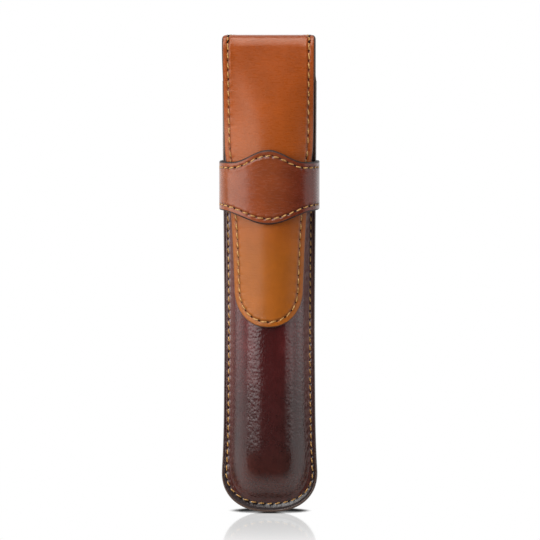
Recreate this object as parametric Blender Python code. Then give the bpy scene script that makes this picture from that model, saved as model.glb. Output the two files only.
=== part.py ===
"""Leather sleeve for one pen: a wet-moulded pouch, a flap over its mouth and a keeper band.

The back of the pouch, the crown and the flap are one hide, which is folded twice over the pen.
X runs to the right, Y to the back and Z up. Every size is in metres.
"""
import math

import bmesh
import bpy
from mathutils import Vector

# Leathers and what lies between them
LEATHER = 0.0012
LINING = 0.0004
GLUE_GAP = 0.0002
CREASE_GAP = 0.0003
PROBE = 0.00001
WELD = 0.000001

# Pouch, its half-widths as shares of the mouth's at shares of the mouth's height
MOUTH_HEIGHT = 0.1501
MOUTH_WIDTH = 0.0323
POUCH_SIDE_SHARES = (
    (0.094, 1.019),
    (0.141, 0.997),
    (0.195, 0.981),
    (0.27, 0.972),
    (0.447, 0.963),
    (0.70, 0.981),
    (0.83, 0.992),
    (1.0, 1.0),
)
FOOT_HEIGHT = 0.0140
FOOT_ROUNDNESS = 2.25

# Bulge moulded into the front panel for the pen
BULGE_DEPTH = 0.0126
BULGE_MARGIN = 0.0020
BULGE_FOOT = 0.0044
BULGE_END = 0.0216
BULGE_FULLNESS = 3.4
BULGE_FILLET = 1.5

# Crown and flap
CROWN_RISE = 0.0160
OVERALL_HEIGHT = MOUTH_HEIGHT + CROWN_RISE
CREASE_RADIUS = 0.0040
FLAP_STEP = 0.0002
FLAP_WIDTH = MOUTH_WIDTH - FLAP_STEP - FLAP_STEP
CROWN_CORNER = 0.0008
FLAP_WAIST = 0.0002
SHOULDER = 0.0022
TONGUE_STEP = 0.00275
TONGUE_WIDTH = FLAP_WIDTH - TONGUE_STEP - TONGUE_STEP
TONGUE_SHOWN = 0.0402
TONGUE_END = 0.0135
TONGUE_TAPER = 0.0010
FLAP_SAG = 0.0060
SAG_START = 0.0300
SAG_SHAPE = 3.5
FREE_SHARE = 0.33

# Keeper band
BAND_LEATHER = 0.0010
BAND_CLEARANCE = 0.0003
BAND_BELOW_MOUTH = 0.0275
BAND_SIDE_TALL = 0.0168
BAND_SIDE_TOP = MOUTH_HEIGHT - BAND_BELOW_MOUTH
BAND_SIDE_BOTTOM = BAND_SIDE_TOP - BAND_SIDE_TALL
BAND_HUMP = 0.0042
BAND_HUMP_REACH = 0.0130
BAND_DIP = 0.0046
BAND_FULLNESS = 3.6
KEEPER_FACING = 0.0240
FLAP_ROOM = 0.0013
SPLIT_ABOVE_BAND = 0.0004

# Thread
THREAD_RADIUS = 0.00024
THREAD_RISE = 0.00012
SEAM_INSET = 0.0015
FOOT_INSET = 0.0032
FLAP_INSET = 0.0020
BAND_INSET = 0.0020
SEAM_PITCH = 0.0028
FLAP_PITCH = 0.0031
BAND_PITCH = 0.0029
STITCH_SLANT = 0.00028
STITCH_SHARE = 0.74
CREASE_THREAD_GAP = 0.0014

# Fineness of the meshes
POUCH_COLUMN_COUNT = 20
HIDE_COLUMN_COUNT = 12
BACK_COLUMN_COUNT = 6
FOOT_ROW_COUNT = 8
BULGE_ROW_COUNT = 6
SIDE_ROW_COUNT = 7
CREASE_ROW_COUNT = 5
TONGUE_ROW_COUNT = 8
BAND_COLUMN_COUNT = 56
BAND_ROW_COUNT = 2
FACING_COLUMN_COUNT = 14
ARCH_POINT_COUNT = 48
CORNER_POINT_COUNT = 6
SHARP_ANGLE = math.radians(40)

# Depths, counted forwards from the outer face of the band's back
PANEL_STACK = LEATHER + GLUE_GAP + LINING
BACK_FACE = BAND_LEATHER + BAND_CLEARANCE
FRONT_MARGIN = BACK_FACE + PANEL_STACK + GLUE_GAP + PANEL_STACK
FRONT_DOME = FRONT_MARGIN + BULGE_DEPTH
FLAP_FACE = FRONT_DOME + GLUE_GAP + PANEL_STACK
BAND_FRONT = FLAP_FACE + GLUE_GAP + LINING + GLUE_GAP + BAND_LEATHER
OVERALL_DEPTH = BAND_FRONT + THREAD_RISE + THREAD_RADIUS + THREAD_RADIUS
REAR = OVERALL_DEPTH / 2

# Runs along the hide, up the front, over the crown and down the back
CORNER_HEIGHT = OVERALL_HEIGHT - CREASE_RADIUS
CORNER_RUN = CREASE_RADIUS * math.pi / 2
HIDE_DEPTH = FLAP_FACE - BACK_FACE
TOP_RUN = HIDE_DEPTH - CREASE_RADIUS - CREASE_RADIUS
TOP_START = CORNER_HEIGHT + CORNER_RUN
TOP_END = TOP_START + TOP_RUN
BACK_START = TOP_END + CORNER_RUN
FRONT_CREASE = CORNER_HEIGHT + CORNER_RUN / 2
BACK_CREASE = TOP_END + CORNER_RUN / 2
BACK_END = BACK_START + CORNER_HEIGHT

BAND_TOP = BAND_SIDE_TOP + BAND_HUMP
BAND_BOTTOM = BAND_SIDE_BOTTOM - BAND_DIP
TONGUE_TIP = BAND_SIDE_BOTTOM - TONGUE_SHOWN
TONGUE_SPLIT = BAND_TOP + SPLIT_ABOVE_BAND


def smooth_through(stations, place):
    """Give the value at a place on the smooth curve through the stations."""
    places = [station[0] for station in stations]
    values = [station[1] for station in stations]
    if place <= places[0]:
        return values[0]
    if place >= places[-1]:
        return values[-1]
    last = len(stations) - 1
    index = max(i for i in range(last) if places[i] <= place)

    def slope(i):
        before = max(i - 1, 0)
        after = min(i + 1, last)
        return (values[after] - values[before]) / (places[after] - places[before])

    width = places[index + 1] - places[index]
    t = (place - places[index]) / width
    start = values[index] * (1 + 2 * t) * (1 - t) ** 2 + slope(index) * width * t * (1 - t) ** 2
    end = values[index + 1] * t * t * (3 - 2 * t) - slope(index + 1) * width * t * t * (1 - t)
    return start + end


def ease(t):
    """Rise smoothly from 0 to 1 as t does."""
    t = min(max(t, 0), 1)
    return t * t * (3 - 2 * t)


def evenly(start, end, count):
    """Give count + 1 places from start to end."""
    return [start + (end - start) * i / count for i in range(count + 1)]


def pouch_side(height):
    """Half the pouch's width at a height, without its rounded foot."""
    stations = [(h * MOUTH_HEIGHT, w * MOUTH_WIDTH / 2) for h, w in POUCH_SIDE_SHARES]
    return smooth_through(stations, height)


def pouch_half_width(height):
    """Half the pouch's width at a height, down to the point it stands on."""
    if height >= FOOT_HEIGHT:
        return pouch_side(height)
    rise = max((FOOT_HEIGHT - height) / FOOT_HEIGHT, 0)
    return pouch_side(FOOT_HEIGHT) * max(1 - rise ** FOOT_ROUNDNESS, 0) ** (1 / FOOT_ROUNDNESS)


def foot_heights(height, count):
    """Heights up a rounded foot, close together where it turns."""
    turns = evenly(0, math.pi / 2, count)
    return [height * (1 - max(math.cos(turn), 0) ** (2 / FOOT_ROUNDNESS)) for turn in turns]


WIDEST_IN_BAND = max(pouch_side(BAND_SIDE_TOP), pouch_side(BAND_SIDE_BOTTOM))
BAND_INNER_HALF = max(WIDEST_IN_BAND + BAND_CLEARANCE, TONGUE_WIDTH / 2 + FLAP_ROOM)
BAND_HALF = BAND_INNER_HALF + BAND_LEATHER


def flap_side(run):
    """Half the flap's width at a run, without its rounded tip."""
    full = FLAP_WIDTH / 2
    tongue = TONGUE_WIDTH / 2
    held = min(BAND_INNER_HALF - FLAP_ROOM, full)
    free = BAND_TOP + (CORNER_HEIGHT - BAND_TOP) * FREE_SHARE
    stations = [
        (TONGUE_TIP + TONGUE_END, tongue - TONGUE_TAPER),
        (BAND_BOTTOM, tongue),
        (BAND_SIDE_TOP, held),
        (BAND_TOP, (held + full) / 2),
        (free, full - FLAP_WAIST),
        (CORNER_HEIGHT, full),
    ]
    return smooth_through(stations, run)


def hide_half_width(run):
    """Half the hide's width anywhere along it, in flap, crown and back."""
    if run <= TONGUE_TIP + TONGUE_END:
        rise = max((TONGUE_TIP + TONGUE_END - run) / TONGUE_END, 0)
        return flap_side(run) * max(1 - rise * rise, 0) ** 0.5
    if run <= CORNER_HEIGHT:
        return flap_side(run)
    if run <= BACK_START:
        below_top = OVERALL_HEIGHT - hide_surface(0, run).z
        drop = min(max(CROWN_CORNER - below_top, 0), CROWN_CORNER)
        return FLAP_WIDTH / 2 - CROWN_CORNER + (CROWN_CORNER ** 2 - drop ** 2) ** 0.5
    height = BACK_END - run
    if height >= MOUTH_HEIGHT:
        spread = ease(1 - (height - MOUTH_HEIGHT) / SHOULDER)
        return FLAP_WIDTH / 2 + (MOUTH_WIDTH - FLAP_WIDTH) / 2 * spread
    return pouch_half_width(height)


def hide_surface(x, run):
    """Outer face of the hide, from the flap's tip over the crown to the pouch's foot."""
    front = REAR - FLAP_FACE
    back = REAR - BACK_FACE
    if run <= CORNER_HEIGHT:
        held = ease((CORNER_HEIGHT - run) / SAG_START)
        sag = FLAP_SAG * held * abs(x / flap_side(run)) ** SAG_SHAPE
        return Vector((x, front + sag, run))
    if run <= TOP_START:
        turn = (run - CORNER_HEIGHT) / CREASE_RADIUS
        y = front + CREASE_RADIUS * (1 - math.cos(turn))
        return Vector((x, y, CORNER_HEIGHT + CREASE_RADIUS * math.sin(turn)))
    if run <= TOP_END:
        return Vector((x, front + CREASE_RADIUS + run - TOP_START, OVERALL_HEIGHT))
    if run <= BACK_START:
        turn = (run - TOP_END) / CREASE_RADIUS
        y = back - CREASE_RADIUS * (1 - math.sin(turn))
        return Vector((x, y, CORNER_HEIGHT + CREASE_RADIUS * math.cos(turn)))
    return Vector((x, back, BACK_END - run))


def bulge(x, height):
    """How far the front panel stands out of its flat margin."""
    side = abs(x) / (pouch_side(height) - BULGE_MARGIN)
    end = max((BULGE_FOOT + BULGE_END - height) / BULGE_END, 0)
    room = 1 - side ** BULGE_FULLNESS - end ** BULGE_FULLNESS
    return BULGE_DEPTH * max(room, 0) ** BULGE_FILLET


def front_surface(x, height):
    """Outer face of the moulded front panel."""
    return Vector((x, REAR - FRONT_MARGIN - bulge(x, height), height))


def arch_point(turn):
    """Point of the band's front arch, from its middle to its right side."""
    rise = BAND_FRONT - FRONT_MARGIN
    across = (abs(math.sin(turn)) / BAND_HALF) ** BAND_FULLNESS
    along = (abs(math.cos(turn)) / rise) ** BAND_FULLNESS
    reach = (across + along) ** (-1 / BAND_FULLNESS)
    return Vector((reach * math.sin(turn), REAR - FRONT_MARGIN - reach * math.cos(turn)))


def band_outline():
    """Right half of the band's outer face from above, front middle to back middle."""
    radius = BAND_CLEARANCE + BAND_LEATHER
    corner = Vector((BAND_HALF - radius, REAR - radius))
    points = [arch_point(turn) for turn in evenly(0, math.pi / 2, ARCH_POINT_COUNT)]
    for turn in evenly(0, math.pi / 2, CORNER_POINT_COUNT):
        points.append(corner + Vector((math.cos(turn), math.sin(turn))) * radius)
    points.append(Vector((0, REAR)))
    return points


BAND_OUTLINE = band_outline()
BAND_RUNS = [0]
for near, far in zip(BAND_OUTLINE, BAND_OUTLINE[1:]):
    BAND_RUNS.append(BAND_RUNS[-1] + (far - near).length)
BAND_HALF_RUN = BAND_RUNS[-1]


def band_edges(x, y):
    """Heights of the band's lower and upper edges."""
    dip = 1 + math.cos(math.pi * x / BAND_HALF)
    hump = 1 + math.cos(math.pi * min(abs(x) / BAND_HUMP_REACH, 1))
    if y > REAR - FRONT_MARGIN:
        dip = 0
        hump = 0
    return BAND_SIDE_BOTTOM - BAND_DIP * dip / 2, BAND_SIDE_TOP + BAND_HUMP * hump / 2


def band_surface(run, height):
    """Outer face of the band at a run from its front middle, right side positive."""
    distance = min(abs(run), 2 * BAND_HALF_RUN - abs(run))
    index = max(i for i in range(len(BAND_RUNS) - 1) if BAND_RUNS[i] <= distance or i == 0)
    length = BAND_RUNS[index + 1] - BAND_RUNS[index]
    point = BAND_OUTLINE[index].lerp(BAND_OUTLINE[index + 1], (distance - BAND_RUNS[index]) / length)
    mirrored = (run < 0) != (abs(run) > BAND_HALF_RUN)
    return Vector((-point.x if mirrored else point.x, point.y, height))


def lift(surface, a, b, height):
    """Point at a height above a surface, or below it where the height is negative."""
    across = surface(a + PROBE, b) - surface(a - PROBE, b)
    along = surface(a, b + PROBE) - surface(a, b - PROBE)
    return surface(a, b) + across.cross(along).normalized() * height


def leather_material(name, colour, roughness):
    """Plain leather, lining or thread."""
    material = bpy.data.materials.new(name)
    material.use_nodes = True
    shader = material.node_tree.nodes["Principled BSDF"]
    shader.inputs["Base Color"].default_value = (*colour, 1)
    shader.inputs["Roughness"].default_value = roughness
    shader.inputs["Metallic"].default_value = 0
    material.diffuse_color = (*colour, 1)
    return material


def add_object(name, data, parent):
    """Link an object and hang it on its parent, whose place is the joint's axis."""
    part = bpy.data.objects.new(name, data)
    PARTS.objects.link(part)
    part.parent = parent
    return part


def bend_blank(name, surface, lay_out, shape, heights, material, parent, joined=False):
    """Cut a flat blank of leather and bend it onto a surface, its ends joined in a loop if so told."""
    columns, rows = shape
    sheet = bmesh.new()
    bmesh.ops.create_grid(sheet, x_segments=columns, y_segments=rows, size=1)
    lower = set(sheet.verts)
    bmesh.ops.extrude_face_region(sheet, geom=sheet.faces[:], use_keep_orig=True)
    if joined:
        ends = [face for face in sheet.faces if len({round(v.co.x * columns) for v in face.verts}) == 1]
        bmesh.ops.delete(sheet, geom=ends, context="FACES_ONLY")
    origin = parent.location if parent else Vector()
    for vert in sheet.verts:
        column = round((vert.co.x + 1) / 2 * columns)
        row = round((vert.co.y + 1) / 2 * rows)
        a, b = lay_out(column, row)
        vert.co = lift(surface, a, b, heights[1] if vert in lower else heights[0]) - origin
    bmesh.ops.remove_doubles(sheet, verts=sheet.verts, dist=WELD)
    bmesh.ops.recalc_face_normals(sheet, faces=sheet.faces)
    mesh = bpy.data.meshes.new(name)
    sheet.to_mesh(mesh)
    sheet.free()
    mesh.shade_smooth()
    mesh.set_sharp_from_angle(angle=SHARP_ANGLE)
    mesh.materials.append(material)
    return add_object(name, mesh, parent)


def bend_strip(name, surface, half_width, rows, columns, layer, material, parent):
    """Bend a strip whose edges follow a half-width, with its columns closest at the edges."""
    def lay_out(column, row):
        share = 2 * column / columns - 1
        share = (share + math.sin(share * math.pi / 2)) / 2
        return share * half_width(rows[row]), rows[row]

    shape = (columns, len(rows) - 1)
    return bend_blank(name, surface, lay_out, shape, layer, material, parent)


OUTER_LAYER = (0, -LEATHER)
LINING_LAYER = (-LEATHER - GLUE_GAP, -PANEL_STACK)


def pouch_heights():
    """Rows up the front panel: foot, end of the bulge, straight side."""
    bulge_top = BULGE_FOOT + BULGE_END
    foot = foot_heights(FOOT_HEIGHT, FOOT_ROW_COUNT)
    end = evenly(FOOT_HEIGHT, bulge_top, BULGE_ROW_COUNT)
    side = evenly(bulge_top, MOUTH_HEIGHT, SIDE_ROW_COUNT)
    return foot + end[1:] + side[1:]


def back_runs():
    """Rows down the back, from the crease to the foot."""
    crease = evenly(BACK_CREASE + CREASE_GAP / 2, BACK_START, CREASE_ROW_COUNT)
    shoulder = evenly(MOUTH_HEIGHT + SHOULDER, MOUTH_HEIGHT, 2)
    below = reversed(pouch_heights()[:-1])
    return crease + [BACK_END - height for height in shoulder] + [BACK_END - height for height in below]


def crown_runs():
    """Rows over the crown, between its two creases."""
    front = evenly(FRONT_CREASE + CREASE_GAP / 2, TOP_START, CREASE_ROW_COUNT)
    back = evenly(TOP_END, BACK_CREASE - CREASE_GAP / 2, CREASE_ROW_COUNT)
    return front + back


def flap_runs():
    """Rows up the flap, from the band to its crease."""
    crease = evenly(CORNER_HEIGHT, FRONT_CREASE - CREASE_GAP / 2, CREASE_ROW_COUNT)
    return evenly(TONGUE_SPLIT + CREASE_GAP / 2, CORNER_HEIGHT, TONGUE_ROW_COUNT)[:-1] + crease


def tongue_runs():
    """Rows up the tongue, from its tip to the cut above the band."""
    turns = evenly(0, math.pi / 2, TONGUE_ROW_COUNT)
    tip = [TONGUE_TIP + TONGUE_END * (1 - math.cos(turn)) for turn in turns]
    side = evenly(TONGUE_TIP + TONGUE_END, TONGUE_SPLIT - CREASE_GAP / 2, TONGUE_ROW_COUNT)
    return tip + side[1:]


def build_pouch(materials):
    """Back and front panels with their linings."""
    back_rows = back_runs()
    front_rows = pouch_heights()
    bend_strip("back_panel", hide_surface, hide_half_width, back_rows, BACK_COLUMN_COUNT,
               OUTER_LAYER, materials["pouch"], None)
    bend_strip("back_lining", hide_surface, hide_half_width, back_rows, BACK_COLUMN_COUNT,
               LINING_LAYER, materials["lining"], None)
    bend_strip("front_panel", front_surface, pouch_half_width, front_rows, POUCH_COLUMN_COUNT,
               OUTER_LAYER, materials["pouch"], None)
    bend_strip("front_lining", front_surface, pouch_half_width, front_rows, POUCH_COLUMN_COUNT,
               LINING_LAYER, materials["lining"], None)


def build_band(materials):
    """Keeper band round the pouch, and the facing glued behind its front."""
    def band_layout(column, row):
        run = BAND_HALF_RUN * (2 * column / BAND_COLUMN_COUNT - 1)
        point = band_surface(run, 0)
        bottom, top = band_edges(point.x, point.y)
        return run, bottom + (top - bottom) * row / BAND_ROW_COUNT

    def facing_layout(column, row):
        run = KEEPER_FACING / 2 * (2 * column / FACING_COLUMN_COUNT - 1)
        point = band_surface(run, 0)
        bottom, top = band_edges(point.x, point.y)
        return run, bottom + (top - bottom) * row / BAND_ROW_COUNT

    facing = -BAND_LEATHER - GLUE_GAP
    bend_blank("keeper_band", band_surface, band_layout, (BAND_COLUMN_COUNT, BAND_ROW_COUNT),
               (0, -BAND_LEATHER), materials["band"], None, joined=True)
    bend_blank("keeper_facing", band_surface, facing_layout, (FACING_COLUMN_COUNT, BAND_ROW_COUNT),
               (facing, facing - LINING), materials["lining"], None)


def build_crown(materials, axis):
    """The stretch of hide over the pen's top, which turns at the back crease."""
    rows = crown_runs()
    bend_strip("crown_leather", hide_surface, hide_half_width, rows, BACK_COLUMN_COUNT,
               OUTER_LAYER, materials["flap"], axis)
    bend_strip("crown_lining", hide_surface, hide_half_width, rows, BACK_COLUMN_COUNT,
               LINING_LAYER, materials["lining"], axis)


def build_flap(materials, axis):
    """The flap above the band, and the tongue that goes through it."""
    upper = flap_runs()
    lower = tongue_runs()
    bend_strip("flap_leather", hide_surface, hide_half_width, upper, HIDE_COLUMN_COUNT,
               OUTER_LAYER, materials["flap"], axis)
    bend_strip("flap_lining", hide_surface, hide_half_width, upper, HIDE_COLUMN_COUNT,
               LINING_LAYER, materials["lining"], axis)
    bend_strip("tongue_leather", hide_surface, hide_half_width, lower, HIDE_COLUMN_COUNT,
               OUTER_LAYER, materials["tongue"], axis)
    bend_strip("tongue_lining", hide_surface, hide_half_width, lower, HIDE_COLUMN_COUNT,
               LINING_LAYER, materials["lining"], axis)


def stitch_places(line, pitch, steps):
    """Places along a seam line, slanted across it, a few to each stitch."""
    lengths = [0]
    for near, far in zip(line, line[1:]):
        lengths.append(lengths[-1] + (far - near).length)
    stitches = max(round(lengths[-1] / pitch), 1)
    places = []
    for stitch in range(stitches):
        for step in range(steps + 1):
            share = step / steps
            at = lengths[-1] * (stitch + 0.5 + (share - 0.5) * STITCH_SHARE) / stitches
            index = max(i for i in range(len(line) - 1) if lengths[i] <= at)
            along = (line[index + 1] - line[index]).normalized()
            middle = line[index] + along * (at - lengths[index])
            places.append(middle + Vector((-along.y, along.x)) * STITCH_SLANT * (1 - 2 * share))
    return places


def sew(name, surface, line, pitch, steps, material, parent):
    """Lay one thread along a seam line, just above the leather."""
    curve = bpy.data.curves.new(name, "CURVE")
    curve.dimensions = "3D"
    curve.bevel_depth = THREAD_RADIUS
    curve.bevel_resolution = 0
    curve.use_fill_caps = True
    origin = parent.location if parent else Vector()
    places = stitch_places(line, pitch, steps)
    spline = curve.splines.new("POLY")
    spline.points.add(len(places) - 1)
    for point, place in zip(spline.points, places):
        lifted = lift(surface, place.x, place.y, THREAD_RISE + THREAD_RADIUS)
        point.co = (*(lifted - origin), 1)
    curve.materials.append(material)
    return add_object(name, curve, parent)


def seam_side(half_width, inset, rows, side):
    """Seam line up one edge, a set distance inside it."""
    return [Vector((side * (half_width(row) - inset), row)) for row in rows]


def pouch_seam(rows):
    """Seam line inside the pouch's edge, down the left, round the foot and up the right."""
    turns = evenly(0, math.pi / 2, 2 * FOOT_ROW_COUNT)
    half = pouch_side(FOOT_HEIGHT) - SEAM_INSET
    tall = FOOT_HEIGHT - FOOT_INSET
    power = 2 / FOOT_ROUNDNESS
    foot = []
    for turn in turns:
        x = half * math.sin(turn) ** power
        foot.append(Vector((x, FOOT_HEIGHT - tall * max(math.cos(turn), 0) ** power)))
    right = foot + seam_side(pouch_side, SEAM_INSET, rows, 1)
    left = [Vector((-point.x, point.y)) for point in reversed(right[1:])]
    return left + right


def tongue_seam():
    """Seam line inside the tongue's edge, round its tip."""
    turns = evenly(0, math.pi / 2, 2 * TONGUE_ROW_COUNT)
    centre = TONGUE_TIP + TONGUE_END
    half = flap_side(centre) - FLAP_INSET
    tall = TONGUE_END - FLAP_INSET
    tip = [Vector((half * math.sin(turn), centre - tall * math.cos(turn))) for turn in turns]
    rows = evenly(centre, TONGUE_SPLIT - FLAP_PITCH / 2, TONGUE_ROW_COUNT)
    right = tip + seam_side(flap_side, FLAP_INSET, rows[1:], 1)
    left = [Vector((-point.x, point.y)) for point in reversed(right[1:])]
    return left + right


def sew_pouch(thread):
    """Seam round the pouch, seen on the front and on the back, where the band hides a stretch."""
    mouth = MOUTH_HEIGHT - SEAM_PITCH / 2
    front = pouch_seam(evenly(FOOT_HEIGHT, mouth, 2 * SIDE_ROW_COUNT)[1:])
    sew("front_seam_thread", front_surface, front, SEAM_PITCH, 1, thread, None)
    below = BAND_SIDE_BOTTOM - SEAM_PITCH / 2
    behind = pouch_seam(evenly(FOOT_HEIGHT, below, SIDE_ROW_COUNT)[1:])
    back = [Vector((point.x, BACK_END - point.y)) for point in behind]
    sew("back_seam_thread", hide_surface, back, SEAM_PITCH, 1, thread, None)
    top = BACK_CREASE + CREASE_THREAD_GAP
    bottom = BACK_END - BAND_SIDE_TOP - SEAM_PITCH / 2
    for side, word in ((-1, "left"), (1, "right")):
        line = seam_side(hide_half_width, SEAM_INSET, evenly(top, bottom, 2 * SIDE_ROW_COUNT), side)
        sew("back_thread_" + word, hide_surface, line, SEAM_PITCH, 2, thread, None)


def sew_band(thread):
    """Rows of stitches inside the band's wavy edges, across its front."""
    reach = BAND_HALF_RUN - BAND_HALF - FRONT_MARGIN
    lower = []
    upper = []
    for run in evenly(-reach, reach, ARCH_POINT_COUNT):
        point = band_surface(run, 0)
        bottom, top = band_edges(point.x, point.y)
        lower.append(Vector((run, bottom + BAND_INSET)))
        upper.append(Vector((run, top - BAND_INSET)))
    sew("band_thread_lower", band_surface, lower, BAND_PITCH, 2, thread, None)
    sew("band_thread_upper", band_surface, upper, BAND_PITCH, 2, thread, None)


def sew_hide(thread, crown_axis, flap_axis):
    """Stitches inside the edges of the crown, the flap and the tongue."""
    crown = evenly(FRONT_CREASE + CREASE_THREAD_GAP, BACK_CREASE - CREASE_THREAD_GAP, 2 * TONGUE_ROW_COUNT)
    flap = evenly(TONGUE_SPLIT + FLAP_PITCH / 2, FRONT_CREASE - CREASE_THREAD_GAP, 2 * TONGUE_ROW_COUNT)
    for side, word in ((-1, "left"), (1, "right")):
        line = seam_side(flap_side, FLAP_INSET, crown, side)
        sew("crown_thread_" + word, hide_surface, line, FLAP_PITCH, 3, thread, crown_axis)
        line = seam_side(flap_side, FLAP_INSET, flap, side)
        sew("flap_thread_" + word, hide_surface, line, FLAP_PITCH, 2, thread, flap_axis)
    sew("tongue_thread", hide_surface, tongue_seam(), FLAP_PITCH, 1, thread, flap_axis)


def add_axis(name, run):
    """Empty on a crease's axis, on the hide's outer face."""
    axis = bpy.data.objects.new(name, None)
    PARTS.objects.link(axis)
    axis.location = hide_surface(0, run)
    axis.empty_display_size = CREASE_RADIUS
    return axis


for old in list(bpy.data.objects):
    bpy.data.objects.remove(old)
PARTS = bpy.data.collections.new("single_pen_holder")
bpy.context.scene.collection.children.link(PARTS)

FINISHES = {
    "pouch": leather_material("burgundy_leather", (0.045, 0.010, 0.010), 0.38),
    "flap": leather_material("tan_leather", (0.38, 0.09, 0.022), 0.42),
    "tongue": leather_material("golden_leather", (0.39, 0.13, 0.02), 0.42),
    "band": leather_material("chestnut_leather", (0.22, 0.045, 0.014), 0.4),
    "lining": leather_material("suede_lining", (0.13, 0.06, 0.03), 0.9),
}
THREAD = leather_material("waxed_thread", (0.58, 0.3, 0.06), 0.55)

crown_axis = add_axis("crown_axis", BACK_CREASE)
flap_axis = add_axis("flap_axis", FRONT_CREASE)
build_pouch(FINISHES)
build_band(FINISHES)
build_crown(FINISHES, crown_axis)
build_flap(FINISHES, flap_axis)
sew_pouch(THREAD)
sew_band(THREAD)
sew_hide(THREAD, crown_axis, flap_axis)
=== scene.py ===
"""Looks of the single pen holder: hand-dyed leather, burnished edges and golden hand stitching.

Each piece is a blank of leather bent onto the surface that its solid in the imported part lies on.
Sizes are in metres, in the part's own frame: X to the right, Y to the back and Z up.
"""
import math

import bmesh
import bpy
import numpy as np
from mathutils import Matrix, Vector
from mathutils.kdtree import KDTree


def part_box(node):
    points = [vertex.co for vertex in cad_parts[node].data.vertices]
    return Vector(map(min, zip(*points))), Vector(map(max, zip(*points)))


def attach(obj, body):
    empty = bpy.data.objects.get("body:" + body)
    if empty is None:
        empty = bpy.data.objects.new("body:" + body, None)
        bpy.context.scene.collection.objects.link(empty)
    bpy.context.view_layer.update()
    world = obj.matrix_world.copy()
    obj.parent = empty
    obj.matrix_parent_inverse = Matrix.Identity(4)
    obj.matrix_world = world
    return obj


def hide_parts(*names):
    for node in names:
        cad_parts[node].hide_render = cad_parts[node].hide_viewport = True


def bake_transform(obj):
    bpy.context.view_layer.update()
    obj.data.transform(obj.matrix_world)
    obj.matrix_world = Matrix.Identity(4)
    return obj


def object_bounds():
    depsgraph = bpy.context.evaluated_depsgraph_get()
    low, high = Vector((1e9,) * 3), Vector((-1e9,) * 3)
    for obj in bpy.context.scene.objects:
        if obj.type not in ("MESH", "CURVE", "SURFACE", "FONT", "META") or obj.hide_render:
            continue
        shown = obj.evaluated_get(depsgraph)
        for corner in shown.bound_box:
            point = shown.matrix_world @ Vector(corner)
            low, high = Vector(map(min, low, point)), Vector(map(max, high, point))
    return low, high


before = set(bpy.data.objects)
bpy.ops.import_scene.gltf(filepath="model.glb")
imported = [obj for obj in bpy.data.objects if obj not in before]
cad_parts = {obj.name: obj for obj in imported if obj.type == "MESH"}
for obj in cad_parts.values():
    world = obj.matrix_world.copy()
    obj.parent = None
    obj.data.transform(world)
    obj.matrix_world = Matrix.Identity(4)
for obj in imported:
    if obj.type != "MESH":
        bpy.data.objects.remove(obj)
cad_low, cad_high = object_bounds()


# Moulded front panel. Cowhide tanned with bark, soaked and pressed over a wooden pen while wet, so that a
# full bulge rises out of flat margins. Its sides are slightly waisted and its foot is round. It is dyed,
# waxed, and sewn to the back down both sides and round the foot.
LEATHER = 0.0012
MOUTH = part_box("front_panel")[1].z
MOUTH_HALF = 0.01615
POUCH_SIDE_SHARES = (
    (0.094, 1.019),
    (0.141, 0.997),
    (0.195, 0.981),
    (0.27, 0.972),
    (0.447, 0.963),
    (0.70, 0.981),
    (0.83, 0.992),
    (1.0, 1.0),
)
FOOT_HEIGHT = 0.0140
FOOT_ROUNDNESS = 2.25
BULGE_MARGIN = 0.0020
BULGE_FOOT = 0.0044
BULGE_END = 0.0216
BULGE_FULLNESS = 3.4
BULGE_FILLET = 1.5
MARGIN_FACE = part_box("front_panel")[1].y - LEATHER
DOME_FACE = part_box("front_panel")[0].y
RIB = 0.00045
RIM_TRIM = (0.0004, 0.0007)
SEAM_INSET = 0.0015
FOOT_INSET = 0.0032
SEAM_PITCH = 0.0028
SEAM_STEP = 0.0002
SEAM_DEPTH = 0.0003


def smooth_through(stations, at):
    """Values at some places on the smooth curve through the stations."""
    places, values = np.array(stations).T
    slopes = np.gradient(values)
    slopes[1:-1] = (values[2:] - values[:-2]) / (places[2:] - places[:-2])
    slopes[0] = (values[1] - values[0]) / (places[1] - places[0])
    slopes[-1] = (values[-1] - values[-2]) / (places[-1] - places[-2])
    index = np.clip(np.searchsorted(places, at, side="right") - 1, 0, len(places) - 2)
    width = places[index + 1] - places[index]
    t = np.clip((at - places[index]) / width, 0, 1)
    start = values[index] * (1 + 2 * t) * (1 - t) ** 2 + slopes[index] * width * t * (1 - t) ** 2
    end = values[index + 1] * t * t * (3 - 2 * t) - slopes[index + 1] * width * t * t * (1 - t)
    return start + end


def ease(t):
    """Rise smoothly from 0 to 1 as t does."""
    t = np.clip(t, 0, 1)
    return t * t * (3 - 2 * t)


def pouch_side(height):
    """Half the pouch's width at a height, without its rounded foot."""
    stations = [(share * MOUTH, wide * MOUTH_HALF) for share, wide in POUCH_SIDE_SHARES]
    return smooth_through(stations, height)


def inside(x, height, side, centre, tall, power, trim=(0, 0)):
    """Distance inside an outline of two sides and a rounded end, trimmed at its sides and its end."""
    half = side(np.maximum(height, centre)) - trim[0]
    down = np.maximum(centre - height, 0)
    ratio = (np.abs(x / half) ** power + (down / (tall - trim[1])) ** power) ** (1 / power)
    rounded = np.hypot(x, down) * (1 / np.maximum(ratio, 1e-6) - 1)
    return np.where(down > 0, rounded, half - np.abs(x))


def outline(side, top, centre, tall, power, trim, spacing):
    """Points down the right side of an outline, round its end and up the left side."""
    sides = np.linspace(top, centre, max(round((top - centre) / spacing), 2))
    half = side(np.array(centre)) - trim[0]
    turns = np.linspace(math.pi / 2, 0, max(round(2 * MOUTH_HALF / spacing), 8))[1:]
    xs = half * np.sin(turns) ** (2 / power)
    downs = (tall - trim[1]) * np.cos(turns) ** (2 / power)
    right = np.column_stack([np.append(side(sides) - trim[0], xs), np.append(sides, centre - downs)])
    left = right[-2::-1] * (-1, 1)
    return np.vstack([right, left])


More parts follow.
